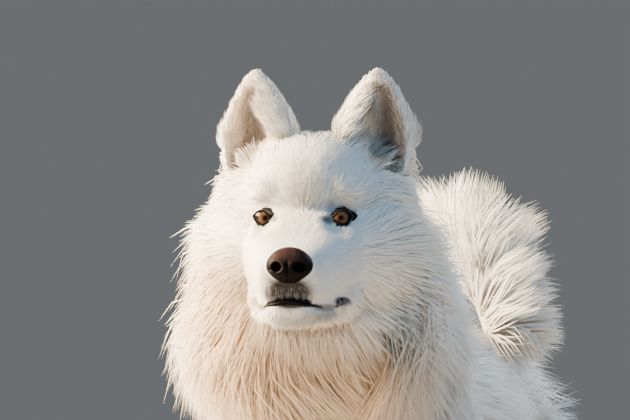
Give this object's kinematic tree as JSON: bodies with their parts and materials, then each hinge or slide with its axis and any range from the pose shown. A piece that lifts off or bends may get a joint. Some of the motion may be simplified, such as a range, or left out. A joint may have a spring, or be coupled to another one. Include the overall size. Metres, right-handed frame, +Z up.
{
  "type": "samoyed dog model",
  "caption": "Life-size still model of a samoyed standing square, with pricked ears, a thick ruff and a plumed tail curled over its back.",
  "frame": {"origin": "on the floor, under the middle of the dog's bounding box", "axes": "+Z up, the dog looks along -Y, its left side is at +X"},
  "size_m": [0.3274, 0.945, 0.807],
  "materials": {
    "coat": "long soft white hair over a woolly undercoat, matt",
    "nose_leather": "fine pebbled skin, slightly moist",
    "eye": "wet gloss",
    "claw": "satin horn"
  },
  "bodies": {
    "root": {"head": "coat", "nose": "nose_leather", "ear_left": "coat", "ear_right": "coat", "eye_left": "eye", "eye_right": "eye", "neck": "coat", "torso": "coat", "leg_front_left": "coat", "leg_front_right": "coat", "leg_hind_left": "coat", "leg_hind_right": "coat", "foot_front_left": "coat", "foot_front_right": "coat", "foot_hind_left": "coat", "foot_hind_right": "coat", "claw_front_left_1": "claw", "claw_front_left_2": "claw", "claw_front_left_3": "claw", "claw_front_left_4": "claw", "claw_front_right_1": "claw", "claw_front_right_2": "claw", "claw_front_right_3": "claw", "claw_front_right_4": "claw", "claw_hind_left_1": "claw", "claw_hind_left_2": "claw", "claw_hind_left_3": "claw", "claw_hind_left_4": "claw", "claw_hind_right_1": "claw", "claw_hind_right_2": "claw", "claw_hind_right_3": "claw", "claw_hind_right_4": "claw", "tail_root": "coat", "tail_arch": "coat", "tail_tip": "coat"}
  },
  "joints": []
}
